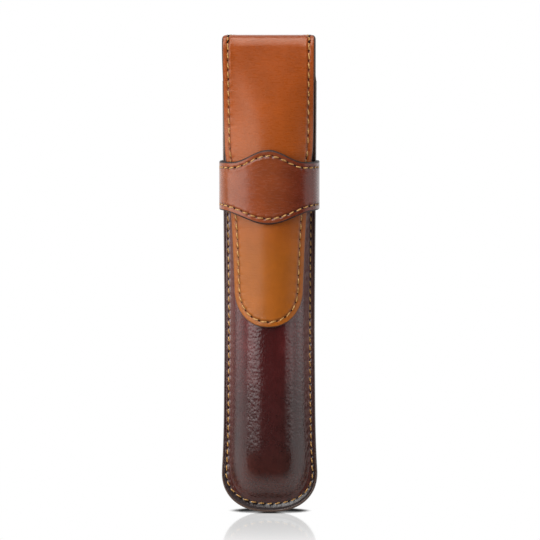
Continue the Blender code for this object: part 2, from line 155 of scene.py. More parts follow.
def pouch_outline(top, trim, spacing=RIB):
    """Points from a height on the pouch's right side, round its foot and up to the same on its left."""
    return outline(pouch_side, top, FOOT_HEIGHT, FOOT_HEIGHT, FOOT_ROUNDNESS, trim, spacing)


def from_pouch_edge(x, height, trim):
    """Distance inside the pouch's outline, trimmed at its sides and its foot."""
    return inside(x, height, pouch_side, FOOT_HEIGHT, FOOT_HEIGHT, FOOT_ROUNDNESS, trim)


def pouch_front(x, height):
    """Outer face of the front panel, wet-moulded over the pen."""
    side = np.abs(x) / (pouch_side(height) - BULGE_MARGIN)
    end = np.maximum((BULGE_FOOT + BULGE_END - height) / BULGE_END, 0)
    room = np.maximum(1 - side ** BULGE_FULLNESS - end ** BULGE_FULLNESS, 0)
    y = MARGIN_FACE - (MARGIN_FACE - DOME_FACE) * room ** BULGE_FILLET
    return np.stack(np.broadcast_arrays(x, y, height), -1)


PROBE = 0.00001
SHARP = math.radians(65)
WELD = 0.0000015


def normals(surface, a, b):
    """Unit normals of a surface, pointing out of the leather."""
    across = surface(a + PROBE, b) - surface(a - PROBE, b)
    along = surface(a, b + PROBE) - surface(a, b - PROBE)
    turned = np.cross(across, along)
    return turned / np.linalg.norm(turned, axis=-1, keepdims=True)


def edge_shares(reach, steps):
    """Shares of a rib from its edge to its end: close together first, then by the given steps."""
    places = [0]
    for limit, step in steps:
        while places[-1] < limit and places[-1] < reach:
            places.append(places[-1] + step)
    return np.array(places) / places[-1]


def fan(edge, spine):
    """Ribs of a fan: from the points of its edge to places on its middle line."""
    return edge, np.column_stack([np.zeros(len(edge)), spine])


def add_piece(name, data):
    """Put a mesh, a lamp or a camera into the scene."""
    piece = bpy.data.objects.new(name, data)
    bpy.context.scene.collection.objects.link(piece)
    return piece


def add_mesh(name, points, faces, marks=()):
    """Join points and faces into a smooth closed piece, with a named value at each point."""
    mesh = bpy.data.meshes.new(name)
    mesh.from_pydata(points.tolist(), [], faces)
    for word, kind, field, values in marks:
        attribute = mesh.attributes.new(word, kind, "POINT")
        attribute.data.foreach_set(field, values.astype(np.float32).ravel())
    shell = bmesh.new()
    shell.from_mesh(mesh)
    bmesh.ops.remove_doubles(shell, verts=shell.verts, dist=WELD)
    bmesh.ops.recalc_face_normals(shell, faces=shell.faces)
    shell.to_mesh(mesh)
    shell.free()
    mesh.shade_smooth()
    mesh.set_sharp_from_angle(angle=SHARP)
    return add_piece(name, mesh)


def bend_blank(name, surface, ribs, shares, thick, inset, relief, marks, kind, reach=None):
    """Bend a blank onto a surface, round its edges, press its relief in and mark its rim and its seam.

    A strip has four edges. A fan is folded out from its middle line, and a loop's ribs meet again.
    The rounding reaches half the thickness into the blank, or further where the edge is worn rounder.
    """
    starts, ends = ribs
    flat = starts[:, None] + (ends - starts)[:, None] * shares[None, :, None]
    a, b = flat[..., 0], flat[..., 1]
    half = thick / 2
    beyond = np.maximum(1 - inset(a, b) / (reach or half), 0)
    turned = half - half * np.sqrt(1 - beyond ** 2)
    middle = surface(a, b)
    out = normals(surface, a, b)
    outer = middle + out * (relief(a, b) - turned)[..., None]
    inner = middle + out * (turned - thick)[..., None]
    rows, columns = a.shape
    number = np.arange(rows * columns).reshape(rows, columns)
    quads = np.stack([number[:-1, :-1], number[1:, :-1], number[1:, 1:], number[:-1, 1:]], -1).reshape(-1, 4)
    faces = [quads, quads[:, ::-1] + rows * columns]
    edges = {"strip": [number[:, 0], number[:, -1], number[0], number[-1]],
             "fan": [number[:, 0], number[0], number[-1]],
             "loop": [number[:, 0], number[:, -1]]}[kind]
    for line in edges:
        far = line + rows * columns
        faces.append(np.stack([line[:-1], line[1:], far[1:], far[:-1]], -1))
    spread = np.column_stack([np.tile(a.ravel(), 2), np.tile(b.ravel(), 2),
                              np.repeat([0, -thick], rows * columns)])
    fields = [("flat", "FLOAT_VECTOR", "vector", spread)]
    for word, values in zip(("rim", "seam"), marks(a, b)):
        fields.append((word, "FLOAT", "value", np.tile(np.clip(values, 0, 1).ravel(), 2)))
    points = np.vstack([outer.reshape(-1, 3), inner.reshape(-1, 3)])
    return add_mesh(name, points, np.vstack(faces).tolist(), fields)


POUCH_SEAM = pouch_outline(MOUTH - SEAM_PITCH / 2, (SEAM_INSET, FOOT_INSET), SEAM_STEP)
PULL_REACH = 0.0025
GROOVE_WIDTH = 0.00042
GROOVE_SHARE = 0.3
HOLE_SHARE = 0.9
SWELL_INSET = 0.0010
SWELL_WIDTH = 0.00045
SWELL_SHARE = 0.3


def near_line(distance, width):
    """1 on a line, and less the farther from it."""
    return np.exp(-(distance / width) ** 2)


def along(points):
    """Running length at each point of a line."""
    return np.append(0, np.cumsum(np.linalg.norm(np.diff(points, axis=0), axis=1)))


def steps_of(line, pitch):
    """How many stitches a seam line takes, and the length that each one gets."""
    length = along(line)[-1]
    count = max(round(length / pitch), 1)
    return count, length / count


def pulled(seams, a, b, from_seam):
    """Relief that stitches pull into leather: a groove, dimpled at each hole, and a swelling beside it."""
    places = []
    for line, pitch in seams:
        shares = along(line) / steps_of(line, pitch)[1]
        places += [(*point, share) for point, share in zip(line, shares)]
    tree = KDTree(len(places))
    for number, place in enumerate(places):
        tree.insert((place[0], place[1], 0), number)
    tree.balance()
    near = np.abs(from_seam) < PULL_REACH
    phase = np.zeros(a.shape)
    phase[near] = [places[tree.find((u, v, 0))[1]][2] for u, v in zip(a[near], b[near])]
    hole = (0.5 + 0.5 * np.cos(2 * math.pi * phase)) ** 3
    groove = near_line(from_seam, GROOVE_WIDTH) * (GROOVE_SHARE + HOLE_SHARE * hole)
    swelling = near_line(from_seam - SWELL_INSET, SWELL_WIDTH) * (1 - hole)
    return np.where(near, SEAM_DEPTH * (SWELL_SHARE * swelling - groove), 0)


FOOT_SHADE_TOP = 0.0260
FOOT_SHADE_REACH = 0.0200
BEAD_OUT = 0.0017
BEAD_WIDTH = 0.0008
BEAD_RISE = 0.0003
FOOT_RIM = 0.0019
FOOT_RIM_FADE = 0.0006
POUCH_SEAM_SHADE_OUT = 0.0003
POUCH_SEAM_SHADE_WIDTH = 0.0005
FOOT_SEAM_SHADE = 0.0003
POUCH_SEAM_SHADE_SHARE = 0.45
FOOT_SEAM_SHADE_SHARE = 0.5
FRONT_ROUNDING = 0.0011
FRONT_STEPS = [(0.0006, 0.00012), (0.0032, 0.0002), (0.007, 0.0004), (0.02, 0.0009)]
CORE_REACH = (0.0015, 0.0065)
MARGIN_REACH = (0.0112, 0.0132)
DEEPENED_SHARES = (0.03, 0.45)


def near_foot(height):
    """1 round the foot, 0 higher up."""
    return ease((FOOT_SHADE_TOP - height) / FOOT_SHADE_REACH)


def linear(code):
    """Linear colour of an sRGB hex code."""
    parts = [int(code[i:i + 2], 16) / 255 for i in (1, 3, 5)]
    return tuple(p / 12.92 if p <= 0.04045 else ((p + 0.055) / 1.055) ** 2.4 for p in parts) + (1,)


def add_node(tree, kind, inputs=None, **settings):
    """Add a node with its settings, and set or link its inputs."""
    node = tree.nodes.new(kind)
    for word, value in settings.items():
        setattr(node, word, value)
    for word, value in (inputs or {}).items():
        if isinstance(value, bpy.types.NodeSocket):
            tree.links.new(value, node.inputs[word])
        else:
            node.inputs[word].default_value = value
    return node


def new_tree(name):
    """A material's empty node tree, with its shader."""
    material = bpy.data.materials.new(name)
    material.use_nodes = True
    tree = material.node_tree
    return material, tree, tree.nodes["Principled BSDF"]


def set_stops(ramp, stops):
    """Put colours at places along a ramp."""
    ramp.elements[0].position, ramp.elements[0].color = stops[0][0], linear(stops[0][1])
    ramp.elements[1].position, ramp.elements[1].color = stops[-1][0], linear(stops[-1][1])
    for place, code in stops[1:-1]:
        ramp.elements.new(place).color = linear(code)


def leather(name, dyes, span, rim="#2A1614", seam="#2A1614", coords="flat", axis="Y", core=None,
            margin=None, roughness=(0.20, 0.30), rim_roughness=0.55, ior=1.5, shine="#FFFFFF",
            mottle_mm=8.0, mottle=0.12, speckle=0.65, grain_mm=0.6, depth_mm=0.02, crease_mm=2.2,
            crease_depth_mm=0.06, stretch=(1, 4, 4)):
    """Dyed leather: a colour that changes along it, cloudy dye, pressed grain, seam shade and painted rim.

    Its seam shade is painted. With a core it also gets painted shade down its middle and a painted
    sheen in its margins, more so higher up.
    The grain is drawn coarser than real pores, 0.2 mm across, so that it shows.
    """
    material, tree, shader = new_tree(name)
    if coords == "flat":
        place = add_node(tree, "ShaderNodeAttribute", attribute_name="flat").outputs["Vector"]
    else:
        place = add_node(tree, "ShaderNodeTexCoord").outputs["Object"]
    parted = add_node(tree, "ShaderNodeSeparateXYZ", {"Vector": place})
    share = add_node(tree, "ShaderNodeMapRange", {"Value": parted.outputs[axis], "From Min": span[0],
                                                  "From Max": span[1]})
    cloud = add_node(tree, "ShaderNodeTexNoise", {"Vector": place, "Scale": 1000 / mottle_mm,
                                                  "Detail": 6, "Roughness": speckle})
    ramp = add_node(tree, "ShaderNodeValToRGB", {"Fac": share.outputs["Result"]})
    set_stops(ramp.color_ramp, dyes)
    tone = add_node(tree, "ShaderNodeMapRange", {"Value": cloud.outputs["Fac"], "From Min": 0.3,
                                                 "From Max": 0.7, "To Min": 1 - mottle,
                                                 "To Max": 1 + mottle})
    dyed = add_node(tree, "ShaderNodeHueSaturation", {"Color": ramp.outputs["Color"],
                                                      "Value": tone.outputs["Result"]})
    mixed = dyed.outputs["Color"]
    overlays = []
    # A core gets painted shade down the middle and a painted sheen in the margins, more so higher up.
    if core:
        aside = add_node(tree, "ShaderNodeMath", {0: parted.outputs["X"]}, operation="ABSOLUTE")
        above = add_node(tree, "ShaderNodeMapRange", {"Value": share.outputs["Result"],
                                                      "From Min": DEEPENED_SHARES[0],
                                                      "From Max": DEEPENED_SHARES[1]})
        for code, (near, far), side in ((margin, MARGIN_REACH, 0), (core, CORE_REACH, 1)):
            across = add_node(tree, "ShaderNodeMapRange", {"Value": aside.outputs[0], "From Min": near,
                                                           "From Max": far, "To Min": side,
                                                           "To Max": 1 - side},
                              interpolation_type="SMOOTHSTEP")
            both = add_node(tree, "ShaderNodeMath", {0: across.outputs["Result"],
                                                     1: above.outputs["Result"]}, operation="MULTIPLY")
            overlays.append((both.outputs[0], code))
    for word, code in (("seam", seam), ("rim", rim)):
        mark = add_node(tree, "ShaderNodeAttribute", attribute_name=word).outputs["Fac"]
        overlays.append((mark, code))
    for amount, code in overlays:
        mixed = add_node(tree, "ShaderNodeMix", {"Factor": amount, 6: mixed, 7: linear(code)},
                         data_type="RGBA").outputs[2]
    pores = add_node(tree, "ShaderNodeTexVoronoi", {"Vector": place, "Scale": 1000 / grain_mm},
                     feature="SMOOTH_F1")
    across = add_node(tree, "ShaderNodeVectorMath", {0: place, 1: stretch}, operation="MULTIPLY")
    creases = add_node(tree, "ShaderNodeTexNoise", {"Vector": across.outputs["Vector"], "Detail": 4,
                                                    "Scale": 1000 / crease_mm, "Distortion": 0.5})
    pressed = add_node(tree, "ShaderNodeBump", {"Height": pores.outputs["Distance"], "Strength": 1.0,
                                                "Distance": depth_mm / 1000})
    bump = add_node(tree, "ShaderNodeBump", {"Height": creases.outputs["Fac"], "Strength": 1.0,
                                             "Distance": crease_depth_mm / 1000,
                                             "Normal": pressed.outputs["Normal"]})
    gloss = add_node(tree, "ShaderNodeMapRange", {"Value": creases.outputs["Fac"], "From Min": 0.35,
                                                  "From Max": 0.65, "To Min": roughness[0],
                                                  "To Max": roughness[1]})
    worn = add_node(tree, "ShaderNodeMapRange", {"Value": mark, "To Max": rim_roughness,
                                                 "To Min": gloss.outputs["Result"]})
    tree.links.new(mixed, shader.inputs["Base Color"])
    tree.links.new(worn.outputs["Result"], shader.inputs["Roughness"])
    tree.links.new(bump.outputs["Normal"], shader.inputs["Normal"])
    shader.inputs["IOR"].default_value = ior
    shader.inputs["Specular Tint"].default_value = linear(shine)
    return material


# Waxed burgundy leather with a wet shine, in painted light and shade: lighter higher up, redder just above
# the foot, near black down the middle of the bulge and paler in its margins with a painted sheen. Its grain
# is drawn coarser than real pores, 0.2 mm across, so that it shows and breaks the shine.
def burgundy_leather():
    dyes = [(0.0, "#2A1817"), (0.05, "#4C241D"), (0.10, "#42201B"), (0.17, "#371A18"), (0.27, "#3E1B1A"),
            (0.40, "#541F1F"), (0.75, "#642422"), (1.0, "#6E2A24")]
    return leather("waxed_burgundy_leather", dyes, (0, MOUTH), rim="#2E2020", seam="#100808",
                   coords="object", axis="Z", core="#3C0E0E", margin="#6E4C48", roughness=(0.15, 0.22),
                   rim_roughness=0.3, ior=1.6, mottle_mm=5.0, mottle=0.42, speckle=0.85, grain_mm=0.95,
                   depth_mm=0.052, crease_mm=1.3, crease_depth_mm=0.06, stretch=(2.5, 1, 1))


def front_panel():
    edge = pouch_outline(MOUTH, RIM_TRIM)
    ribs = fan(edge, np.maximum(edge[:, 1], FOOT_HEIGHT))

    def inset(x, height):
        return np.clip(from_pouch_edge(x, height, RIM_TRIM), 0, np.maximum(MOUTH - height, 0))

    def relief(x, height):
        from_seam = from_pouch_edge(x, height, (SEAM_INSET, FOOT_INSET))
        bead = near_line(from_seam + BEAD_OUT, BEAD_WIDTH) * near_foot(height)
        return pulled([(POUCH_SEAM, SEAM_PITCH)], x, height, from_seam) + BEAD_RISE * bead

    def marks(x, height):
        from_seam = from_pouch_edge(x, height, (SEAM_INSET, FOOT_INSET))
        foot = near_foot(height)
        rim = foot * ease((FOOT_RIM - from_pouch_edge(x, height, RIM_TRIM)) / FOOT_RIM_FADE)
        # Painted shade along the seam's groove, further out, wider and heavier round the foot.
        dark = near_line(from_seam + POUCH_SEAM_SHADE_OUT + FOOT_SEAM_SHADE * foot, POUCH_SEAM_SHADE_WIDTH + FOOT_SEAM_SHADE * foot)
        return rim, (POUCH_SEAM_SHADE_SHARE + FOOT_SEAM_SHADE_SHARE * foot) * dark

    piece = bend_blank("moulded_front", pouch_front, ribs, edge_shares(MOUTH_HALF, FRONT_STEPS), LEATHER,
                       inset, relief, marks, "fan", FRONT_ROUNDING)
    piece.data.materials.append(burgundy_leather())
    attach(piece, "pouch")
    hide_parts("front_panel")


front_panel()


# Front seam. Waxed golden thread, sewn by hand with two needles through slanted awl holes, joins the front
# to the back. Every other seam is sewn in the same way. One node tree lays a stitch in the middle of each
# step of a seam, and another lays a needle hole at its end.
def seam_tree(name, holes):
    """Geometry nodes that repeat a stitch, or a needle hole, along a seam line."""
    tree = bpy.data.node_groups.new(name, "GeometryNodeTree")
    face = tree.interface
    face.new_socket("Geometry", in_out="INPUT", socket_type="NodeSocketGeometry")
    face.new_socket("Count", in_out="INPUT", socket_type="NodeSocketInt")
    for word in ("Length", "Radius", "Rise", "Turn", "Shift"):
        face.new_socket(word, in_out="INPUT", socket_type="NodeSocketFloat")
    face.new_socket("Material", in_out="INPUT", socket_type="NodeSocketMaterial")
    face.new_socket("Geometry", in_out="OUTPUT", socket_type="NodeSocketGeometry")
    given = add_node(tree, "NodeGroupInput").outputs
    line = add_node(tree, "GeometryNodeMeshToCurve", {"Mesh": given["Geometry"]})
    steps = add_node(tree, "GeometryNodeResampleCurve", {"Curve": line.outputs["Curve"],
                                                         "Count": given["Count"]})
    up = add_node(tree, "GeometryNodeInputNamedAttribute", {"Name": "up"}, data_type="FLOAT_VECTOR")
    tangent = add_node(tree, "GeometryNodeInputTangent")
    stand = add_node(tree, "FunctionNodeAlignRotationToVector", {"Vector": up.outputs["Attribute"]},
                     axis="Z")
    face_along = add_node(tree, "FunctionNodeAlignRotationToVector",
                          {"Rotation": stand.outputs["Rotation"], "Vector": tangent.outputs["Tangent"]},
                          axis="X", pivot_axis="Z")
    wobble = add_node(tree, "FunctionNodeRandomValue", {"Min": (-0.02, -0.02, -0.07),
                                                        "Max": (0.02, 0.02, 0.07), "Seed": 7},
                      data_type="FLOAT_VECTOR")
    shaken = add_node(tree, "FunctionNodeEulerToRotation", {"Euler": wobble.outputs["Value"]})
    turned = add_node(tree, "FunctionNodeRotateRotation",
                      {"Rotation": face_along.outputs["Rotation"], "Rotate By": shaken.outputs["Rotation"]},
                      rotation_space="LOCAL")
    half = add_node(tree, "ShaderNodeMath", {0: given["Length"], 1: 0.5}, operation="MULTIPLY")
    if holes:
        ball = add_node(tree, "GeometryNodeMeshUVSphere", {"Segments": 12, "Rings": 7, "Radius": 1.0})
        size = add_node(tree, "ShaderNodeCombineXYZ", {"X": half.outputs[0], "Y": given["Radius"],
                                                       "Z": given["Rise"]})
        shape = add_node(tree, "GeometryNodeTransform", {"Geometry": ball.outputs["Mesh"],
                                                         "Scale": size.outputs[0]}).outputs["Geometry"]
    else:
        back = add_node(tree, "ShaderNodeMath", {0: half.outputs[0], 1: -1.0}, operation="MULTIPLY")
        down = add_node(tree, "ShaderNodeMath", {0: given["Rise"], 1: -1.6}, operation="MULTIPLY")
        crest = add_node(tree, "ShaderNodeMath", {0: given["Rise"], 1: 3.4}, operation="MULTIPLY")
        first = add_node(tree, "ShaderNodeCombineXYZ", {"X": back.outputs[0], "Z": down.outputs[0]})
        top = add_node(tree, "ShaderNodeCombineXYZ", {"Z": crest.outputs[0]})
        last = add_node(tree, "ShaderNodeCombineXYZ", {"X": half.outputs[0], "Z": down.outputs[0]})
        arc = add_node(tree, "GeometryNodeCurveQuadraticBezier", {"Resolution": 7,
                                                                  "Start": first.outputs[0],
                                                                  "Middle": top.outputs[0],
                                                                  "End": last.outputs[0]})
        ring = add_node(tree, "GeometryNodeCurvePrimitiveCircle", {"Resolution": 8,
                                                                   "Radius": given["Radius"]})
        shape = add_node(tree, "GeometryNodeCurveToMesh", {"Curve": arc.outputs["Curve"],
                                                           "Profile Curve": ring.outputs["Curve"],
                                                           "Fill Caps": True}).outputs["Mesh"]
    across = add_node(tree, "FunctionNodeAxisAngleToRotation", {"Angle": given["Turn"]})
    move = add_node(tree, "ShaderNodeCombineXYZ", {"X": given["Shift"]})
    item = add_node(tree, "GeometryNodeTransform", {"Geometry": shape,
                                                    "Rotation": across.outputs["Rotation"],
                                                    "Translation": move.outputs[0]})
    laid = add_node(tree, "GeometryNodeInstanceOnPoints", {"Points": steps.outputs["Curve"],
                                                           "Instance": item.outputs["Geometry"],
                                                           "Rotation": turned.outputs["Rotation"]})
    real = add_node(tree, "GeometryNodeRealizeInstances", {"Geometry": laid.outputs["Instances"]})
    smooth = add_node(tree, "GeometryNodeSetShadeSmooth", {"Geometry": real.outputs["Geometry"]})
    dressed = add_node(tree, "GeometryNodeSetMaterial", {"Geometry": smooth.outputs["Geometry"],
                                                         "Material": given["Material"]})
    add_node(tree, "NodeGroupOutput", {"Geometry": dressed.outputs["Geometry"]})
    return tree


STITCHES = seam_tree("stitches", False)
HOLES = seam_tree("needle_holes", True)


def repeat_on(name, tree, surface, line, pitch, material, sizes, lift):
    """Lay stitches or needle holes along a seam line, as one plain mesh."""
    lengths = along(line)
    count, step = steps_of(line, pitch)
    places = np.linspace(step / 2, lengths[-1] - step / 2, count * 8)
    a = np.interp(places, lengths, line[:, 0])
    b = np.interp(places, lengths, line[:, 1])
    out = normals(surface, a, b)
    points = surface(a, b) + out * lift
    path = bpy.data.meshes.new(name)
    path.from_pydata(points.tolist(), [(i, i + 1) for i in range(len(points) - 1)], [])
    up = path.attributes.new("up", "FLOAT_VECTOR", "POINT")
    up.data.foreach_set("vector", out.astype(np.float32).ravel())
    carrier = bpy.data.objects.new(name + "_line", path)
    bpy.context.scene.collection.objects.link(carrier)
    modifier = carrier.modifiers.new("repeat", "NODES")
    modifier.node_group = tree
    values = {"Count": count, "Material": material, **sizes}
    for item in tree.interface.items_tree:
        if item.in_out == "INPUT" and item.name in values:
            modifier[item.identifier] = values[item.name]
    carrier.update_tag()
    evaluated = carrier.evaluated_get(bpy.context.evaluated_depsgraph_get())
    mesh = bpy.data.meshes.new_from_object(evaluated)
    mesh.name = name
    bpy.data.objects.remove(carrier)
    return add_piece(name, mesh)


def flecked(name, fleck_mm, stops, sockets, detail=2, fleck_roughness=0.5, relief=None):
    """A material with flecks of colour, and with a relief in the same flecks where its size is given."""
    material, tree, shader = new_tree(name)
    place = add_node(tree, "ShaderNodeTexCoord").outputs["Object"]
    flecks = add_node(tree, "ShaderNodeTexNoise", {"Vector": place, "Scale": 1000 / fleck_mm,
                                                   "Detail": detail, "Roughness": fleck_roughness})
    ramp = add_node(tree, "ShaderNodeValToRGB", {"Fac": flecks.outputs["Fac"]})
    set_stops(ramp.color_ramp, stops)
    tree.links.new(ramp.outputs["Color"], shader.inputs["Base Color"])
    if relief:
        bump = add_node(tree, "ShaderNodeBump", {"Height": flecks.outputs["Fac"], "Distance": relief[0],
                                                 "Strength": relief[1]})
        tree.links.new(bump.outputs["Normal"], shader.inputs["Normal"])
    for word, value in sockets.items():
        shader.inputs[word].default_value = value
    return material


# Waxed linen thread, twisted and dyed gold: a soft sheen, with darker flecks between its plies.
THREAD = flecked("waxed_thread", 0.5, [(0.3, "#8A5E28"), (0.5, "#BC8B48"), (0.7, "#DCB070")],
                 {"Roughness": 0.5}, detail=3, relief=(0.00005, 0.6))
# Leather cut open by an awl, which makes each needle hole: near black and matt, painted shade for the dark
# inside the hole.
HOLE = flecked("awl_hole_painted_shade", 0.4, [(0.3, "#160A07"), (0.7, "#2A140D")],
               {"Roughness": 0.9, "Specular IOR Level": 0.2})
THREAD_RADIUS = 0.00023
STITCH_SHARE = 0.68
STITCH_RISE = 0.00016
STITCH_TURN = math.radians(9)
STITCH_SUNK_SHARE = 0.7
HOLE_LENGTH = 0.00160
HOLE_RADIUS = 0.00030
HOLE_RISE = 0.00009
HOLE_TURN = math.radians(-26)
HOLE_SUNK_SHARE = 1.15


def sew(name, surface, line, pitch, carry, cad_node):
    """Sew a seam: its stitches stand for the solid thread, with slanted needle holes between them."""
    step = steps_of(line, pitch)[1]
    stitches = repeat_on(name, STITCHES, surface, line, pitch, THREAD,
                         {"Length": step * STITCH_SHARE, "Radius": THREAD_RADIUS, "Rise": STITCH_RISE,
                          "Turn": STITCH_TURN, "Shift": 0.0}, -STITCH_SUNK_SHARE * SEAM_DEPTH)
    holes = repeat_on(name + "_holes", HOLES, surface, line, pitch, HOLE,
                      {"Length": HOLE_LENGTH, "Radius": HOLE_RADIUS, "Rise": HOLE_RISE,
                       "Turn": HOLE_TURN, "Shift": step / 2}, -HOLE_SUNK_SHARE * SEAM_DEPTH)
    carry(stitches)
    carry(holes)
    if cad_node:
        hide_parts(cad_node)


def rides(body):
    """Carry a piece rigidly on one body."""
    return lambda piece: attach(piece, body)


sew("front_seam", pouch_front, POUCH_SEAM, SEAM_PITCH, rides("pouch"), "front_seam_thread")


# Burnished edge. Where the front, the linings and the back meet, their stacked edges are trimmed flush,
# sanded, dyed and rubbed with wax to one smooth bead, down both sides and round the foot.
BACK_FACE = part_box("back_panel")[1].y
EDGE_PROUD = 0.0002
EDGE_INNER_TRIM = (0.0008, 0.0015)
EDGE_SWELL = 0.00005
EDGE_STEP = 0.0006
EDGE_SIDES = 28
EDGE_FULLNESS = 2.3


# Leather burnished with wax on its cut edge: smooth and semi-matt, grey-brown, and paler near the mouth,
# where a highlight is painted in.
def burnished_leather():
    dyes = [(0.0, "#5A463C"), (0.1, "#4C3A33"), (0.2, "#3A2422"), (0.75, "#3E2826"), (0.84, "#66564E"),
            (1.0, "#6E5E56")]
    return leather("burnished_edge_leather", dyes, (0, MOUTH), coords="object", axis="Z",
                   roughness=(0.15, 0.25), mottle_mm=3.0)


def burnished_edge():
    outer = pouch_outline(MOUTH, (-EDGE_PROUD, 0), EDGE_STEP)
    inner = pouch_outline(MOUTH, EDGE_INNER_TRIM, EDGE_STEP)
    turns = np.linspace(0, 2 * math.pi, EDGE_SIDES, endpoint=False)
    depth = (BACK_FACE - MARGIN_FACE) / 2
    power = 2 / EDGE_FULLNESS
    reach = (1 + np.sign(np.cos(turns)) * np.abs(np.cos(turns)) ** power) / 2
    back = np.sign(np.sin(turns)) * np.abs(np.sin(turns)) ** power * (depth + EDGE_SWELL)
    flat = inner[:, None] + (outer - inner)[:, None] * reach[None, :, None]
    middle = np.broadcast_to(MARGIN_FACE + depth + back, flat.shape[:2])
    points = np.stack([flat[..., 0], middle, flat[..., 1]], -1)
    rows, columns = points.shape[:2]
    number = np.arange(rows * columns).reshape(rows, columns)
    after = np.roll(number, -1, axis=1)
    quads = np.stack([number[:-1], number[1:], after[1:], after[:-1]], -1).reshape(-1, 4)
    caps = [number[0].tolist(), number[-1, ::-1].tolist()]
    piece = add_mesh("burnished_edge", points.reshape(-1, 3), quads.tolist() + caps)
    piece.data.materials.append(burnished_leather())
    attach(piece, "pouch")


burnished_edge()


# Hide: the back, the crown, the flap and its tongue. One long piece of leather is the pouch's back, folds
# over the mouth in two creases and hangs down the front. It is dyed by hand, sewn all round, and pulled
# rounder by the band. Places on it are given by their run: up the flap, over the crown, down the back.
CREASE_RADIUS = 0.0040
CROWN_CORNER = 0.0008
SHOULDER = 0.0022
FLAP_HALF = 0.01595
FLAP_WAIST = 0.0002
FLAP_ROOM = 0.0013
FREE_SHARE = 0.33
FLAP_SAG = 0.0060
SAG_START = 0.0300
SAG_SHAPE = 2.8
SAG_SHAPE_HELD = 2.1
TONGUE_HALF = 0.0132
TONGUE_TAPER = 0.0010
TONGUE_END = 0.0135
TONGUE_ROUNDNESS = 2.2
BAND_LEATHER = 0.0010
BAND_HUMP = 0.0042
BAND_DIP = 0.0046
FLAP_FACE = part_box("flap_leather")[0].y
CROWN_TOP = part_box("crown_leather")[1].z
BAND_LOW, BAND_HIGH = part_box("keeper_band")
BAND_SIDE_TOP = BAND_HIGH.z - BAND_HUMP
BAND_SIDE_BOTTOM = BAND_LOW.z + BAND_DIP
TONGUE_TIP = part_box("tongue_leather")[0].z
TONGUE_CENTRE = TONGUE_TIP + TONGUE_END
CORNER = CROWN_TOP - CREASE_RADIUS
CORNER_RUN = CREASE_RADIUS * math.pi / 2
TOP_START = CORNER + CORNER_RUN
TOP_END = TOP_START + BACK_FACE - FLAP_FACE - 2 * CREASE_RADIUS
BACK_START = TOP_END + CORNER_RUN
BACK_END = BACK_START + CORNER
CROWN_MIDDLE = (TOP_START + TOP_END) / 2


def flap_side(run):
    """Half the flap's width at a run, without the tongue's rounded tip."""
    held = BAND_HIGH.x - BAND_LEATHER - FLAP_ROOM
    stations = [
        (TONGUE_CENTRE, TONGUE_HALF - TONGUE_TAPER),
        (BAND_LOW.z, TONGUE_HALF),
        (BAND_SIDE_TOP, held),
        (BAND_HIGH.z, (held + FLAP_HALF) / 2),
        (BAND_HIGH.z + (CORNER - BAND_HIGH.z) * FREE_SHARE, FLAP_HALF - FLAP_WAIST),
        (CORNER, FLAP_HALF),
    ]
    return smooth_through(stations, run)


def bends(run):
    """How far the hide has turned round its front crease and round its back one."""
    front = np.clip((run - CORNER) / CREASE_RADIUS, 0, math.pi / 2)
    back = np.clip((run - TOP_END) / CREASE_RADIUS, 0, math.pi / 2)
    return front, back


def hide_side(run):
    """Half the hide's width at a run, without its two rounded ends."""
    run = np.asarray(run, float)
    front, back = bends(run)
    below_top = CREASE_RADIUS * (2 - np.sin(front) - np.cos(back))
    drop = np.clip(CROWN_CORNER - below_top, 0, CROWN_CORNER)
    crown = FLAP_HALF - CROWN_CORNER + np.sqrt(CROWN_CORNER ** 2 - drop ** 2)
    height = BACK_END - run
    shoulder = FLAP_HALF + (MOUTH_HALF - FLAP_HALF) * ease(1 - (height - MOUTH) / SHOULDER)
    behind = np.where(height > MOUTH, shoulder, pouch_side(height))
    return np.where(run < CORNER, flap_side(run), np.where(run < BACK_START, crown, behind))


def hide(x, run):
    """Outer face of the hide. The band pulls the flap rounder."""
    front, back = bends(run)
    held = ease((CORNER - run) / SAG_START)
    shape = SAG_SHAPE - (SAG_SHAPE - SAG_SHAPE_HELD) * ease((BAND_HIGH.z + SAG_START - run) / SAG_START)
    sag = FLAP_SAG * held * np.abs(x / flap_side(run)) ** shape
    flat = np.clip(run - TOP_START, 0, TOP_END - TOP_START)
    y = FLAP_FACE + sag + CREASE_RADIUS * (1 - np.cos(front) + np.sin(back)) + flat
    up = np.minimum(run, CORNER) + CREASE_RADIUS * (np.sin(front) + np.cos(back) - 1)
    z = up - np.maximum(run - BACK_START, 0)
    return np.stack(np.broadcast_arrays(x, y, z), -1)


def tongue_outline(top, trim, spacing=RIB):
    """Points from a run on the flap's right side, round the tongue's tip and back to its left."""
    return outline(flap_side, top, TONGUE_CENTRE, TONGUE_END, TONGUE_ROUNDNESS, trim, spacing)


FLAP_INSET = 0.0020
FLAP_PITCH = 0.0031
HIDE_SPLIT = 0.1120
CREASE_GAP = 0.0014
FRONT_CREASE = (CORNER + TOP_START) / 2
BACK_CREASE = (TOP_END + BACK_START) / 2
BACK_TURN = (hide(0, BACK_START).tolist(), hide(0, TOP_END).tolist())
FRONT_TURN = (hide(0, TOP_START).tolist(), hide(0, CORNER).tolist())
HIDE_STEPS = [(0.0006, 0.00012), (0.0036, 0.00022), (0.02, 0.0008)]
PAINT_FADE = 0.0002
HIDE_PAINT = 0.0005
SEAM_SHADE_INSET = 0.0001
SEAM_SHADE_WIDTH = 0.00045
HIDE_SEAM_SHADE = 0.55
BACK_TRIM_REACH = 0.0080


def hide_trim(run):
    """How far the seam lies inside the hide's side."""
    return FLAP_INSET + (SEAM_INSET - FLAP_INSET) * ease((run - TOP_END) / (BACK_START - TOP_END))


def back_trim(run):
    """How far the back stays inside the pouch's burnished edge."""
    return RIM_TRIM[0] * ease((run - (BACK_END - MOUTH)) / BACK_TRIM_REACH)


